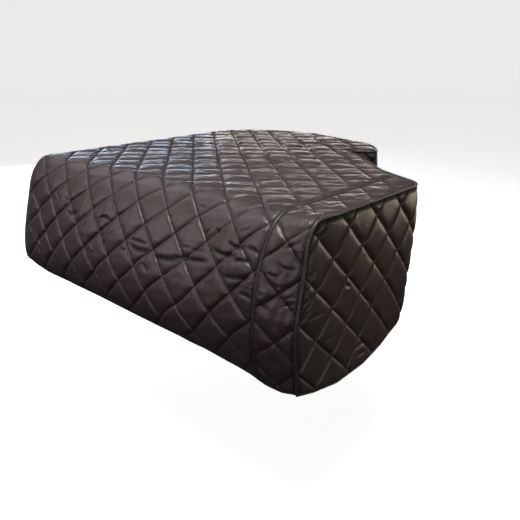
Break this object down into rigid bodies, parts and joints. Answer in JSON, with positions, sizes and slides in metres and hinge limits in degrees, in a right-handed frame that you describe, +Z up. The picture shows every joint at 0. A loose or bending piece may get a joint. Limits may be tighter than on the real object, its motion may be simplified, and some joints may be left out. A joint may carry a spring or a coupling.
{
  "type": "grand piano cover",
  "caption": "Fitted quilted nylon cover shaped to a closed baby grand piano, with piped top edge, corded seam, hanging skirts and bound hem.",
  "frame": {"origin": "on the inside face of the cover's top, half way across its width, above the middle of the piano", "axes": "+Z up, -Y towards the keyboard end, +X towards the treble side"},
  "size_m": [1.5625, 1.5765, 0.5641],
  "materials": {
    "quilted_nylon": "satin padded nylon stitched in diamonds",
    "trim_tape": "satin nylon tape over cord"
  },
  "bodies": {
    "root": {"main_panel": "quilted_nylon", "treble_strip": "quilted_nylon", "treble_skirt": "quilted_nylon", "tail_skirt": "quilted_nylon", "spine_skirt": "quilted_nylon", "edge_piping": "trim_tape", "seam_cord": "trim_tape", "hem_binding": "trim_tape"}
  },
  "joints": []
}
